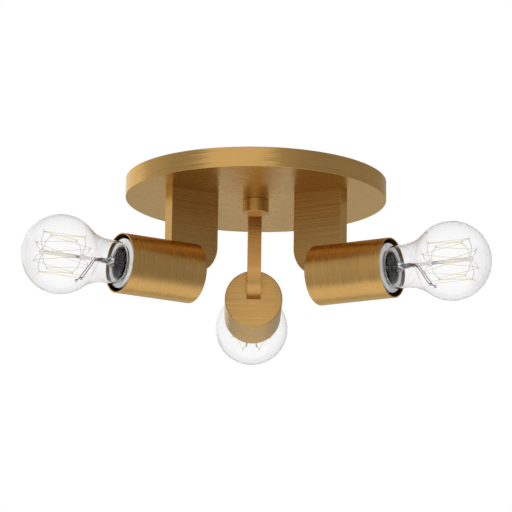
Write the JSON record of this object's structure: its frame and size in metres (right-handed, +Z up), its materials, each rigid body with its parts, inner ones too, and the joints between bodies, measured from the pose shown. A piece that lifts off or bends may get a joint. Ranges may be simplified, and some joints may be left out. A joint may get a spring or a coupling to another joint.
{
  "type": "semi flush ceiling light",
  "caption": "Semi flush ceiling light: round brushed canopy, flat arms and slotted cups holding bare screw-in lamps that point outward, level with the ceiling.",
  "frame": {"origin": "centre of the ceiling face, where the canopy's rim and the mounting strap meet the ceiling", "axes": "+Z up into the ceiling; +Y along the arm that points away from the picture's viewer; +X to the viewer's right"},
  "size_m": [0.3518, 0.3128, 0.111],
  "materials": {
    "brushed_gold": "brushed, satin gold",
    "porcelain": "white glazed porcelain, opaque",
    "shell_metal": "rolled thread, satin",
    "contact_brass": "bright",
    "zinc_steel": "zinc plated",
    "clear_glass": "clear, polished",
    "cap_metal": "bright, threaded",
    "black_glass": "black, glossy",
    "solder": "tinned",
    "stem_glass": "clear, drawn",
    "support_wire": "drawn wire",
    "filament": "pale yellow when unlit in this light",
    "copper_wire": "copper coated",
    "fibre": "red fibre, matte",
    "black_nylon": "moulded",
    "white_nylon": "moulded",
    "black_lead": "sleeved",
    "white_lead": "sleeved",
    "green_lead": "sleeved"
  },
  "bodies": {
    "fixture": {"canopy": "brushed_gold", "mounting_strap": "zinc_steel", "nipple": "zinc_steel", "locknut": "zinc_steel", "arm_screws": "zinc_steel", "arm_washers": "zinc_steel", "bracket_screws": "zinc_steel", "socket_screws": "zinc_steel", "socket_rivets": "contact_brass", "wire_bushings": "black_nylon", "terminal_block": "white_nylon", "terminal_screws": "zinc_steel", "leads_live": "black_lead", "leads_neutral": "white_lead", "earth_lead": "green_lead", "earth_fasteners": "contact_brass", "back_arm": "brushed_gold", "back_cup": "brushed_gold", "back_socket_body": "porcelain", "back_screw_shell": "shell_metal", "back_socket_bracket": "zinc_steel", "left_arm": "brushed_gold", "left_cup": "brushed_gold", "left_socket_body": "porcelain", "left_screw_shell": "shell_metal", "left_socket_bracket": "zinc_steel", "right_arm": "brushed_gold", "right_cup": "brushed_gold", "right_socket_body": "porcelain", "right_screw_shell": "shell_metal", "right_socket_bracket": "zinc_steel"},
    "knob_seat": {"knob_washer": "fibre"},
    "knob": {"knob": "brushed_gold"},
    "back_lamp_seat": {"back_lamp_contact": "solder", "back_lamp_insulator": "black_glass"},
    "back_lamp": {"back_lamp_glass": "clear_glass", "back_lamp_cap": "cap_metal", "back_lamp_stem": "stem_glass", "back_lamp_supports": "support_wire", "back_lamp_filament": "filament", "back_lamp_lead_wires": "copper_wire"},
    "back_tongue": {"back_contact_tongue": "contact_brass"},
    "left_lamp_seat": {"left_lamp_contact": "solder", "left_lamp_insulator": "black_glass"},
    "left_lamp": {"left_lamp_glass": "clear_glass", "left_lamp_cap": "cap_metal", "left_lamp_stem": "stem_glass", "left_lamp_supports": "support_wire", "left_lamp_filament": "filament", "left_lamp_lead_wires": "copper_wire"},
    "left_tongue": {"left_contact_tongue": "contact_brass"},
    "right_lamp_seat": {"right_lamp_contact": "solder", "right_lamp_insulator": "black_glass"},
    "right_lamp": {"right_lamp_glass": "clear_glass", "right_lamp_cap": "cap_metal", "right_lamp_stem": "stem_glass", "right_lamp_supports": "support_wire", "right_lamp_filament": "filament", "right_lamp_lead_wires": "copper_wire"},
    "right_tongue": {"right_contact_tongue": "contact_brass"}
  },
  "joints": [
    {"name": "knob_travel", "type": "slide", "parent": "fixture", "child": "knob_seat", "axis": [0, 0, -1], "range_m": [0, 0.00564]},
    {"name": "knob_turn", "type": "hinge", "parent": "knob_seat", "child": "knob", "pos_m": [0, 0, -0.0205], "axis": [0, 0, -1], "range_deg": [0, 2160]},
    {"name": "back_lamp_travel", "type": "slide", "parent": "fixture", "child": "back_lamp_seat", "axis": [0, 1, 0], "range_m": [0, 0.01814]},
    {"name": "back_lamp_turn", "type": "hinge", "parent": "back_lamp_seat", "child": "back_lamp", "pos_m": [0, 0.1, -0.0812], "axis": [0, 1, 0], "range_deg": [0, 1800]},
    {"name": "back_tongue_press", "type": "hinge", "parent": "fixture", "child": "back_tongue", "pos_m": [-0.009, 0.0885, -0.0812], "axis": [0, 0, -1], "range_deg": [0, 5], "stiffness_Nm_per_rad": 0.05},
    {"name": "left_lamp_travel", "type": "slide", "parent": "fixture", "child": "left_lamp_seat", "axis": [-0.866, -0.5, 0], "range_m": [0, 0.01814]},
    {"name": "left_lamp_turn", "type": "hinge", "parent": "left_lamp_seat", "child": "left_lamp", "pos_m": [-0.0866, -0.05, -0.0812], "axis": [-0.866, -0.5, 0], "range_deg": [0, 1800]},
    {"name": "left_tongue_press", "type": "hinge", "parent": "fixture", "child": "left_tongue", "pos_m": [-0.07214, -0.05204, -0.0812], "axis": [0, 0, -1], "range_deg": [0, 5], "stiffness_Nm_per_rad": 0.05},
    {"name": "right_lamp_travel", "type": "slide", "parent": "fixture", "child": "right_lamp_seat", "axis": [0.866, -0.5, 0], "range_m": [0, 0.01814]},
    {"name": "right_lamp_turn", "type": "hinge", "parent": "right_lamp_seat", "child": "right_lamp", "pos_m": [0.0866, -0.05, -0.0812], "axis": [0.866, -0.5, 0], "range_deg": [0, 1800]},
    {"name": "right_tongue_press", "type": "hinge", "parent": "fixture", "child": "right_tongue", "pos_m": [0.08114, -0.03646, -0.0812], "axis": [0, 0, -1], "range_deg": [0, 5], "stiffness_Nm_per_rad": 0.05}
  ],
  "couplings": [
    {"joint": "knob_turn", "follows": "knob_travel", "rad_per_m": 6679.3},
    {"joint": "back_lamp_turn", "follows": "back_lamp_travel", "rad_per_m": 1731.4},
    {"joint": "left_lamp_turn", "follows": "left_lamp_travel", "rad_per_m": 1731.4},
    {"joint": "right_lamp_turn", "follows": "right_lamp_travel", "rad_per_m": 1731.4}
  ]
}
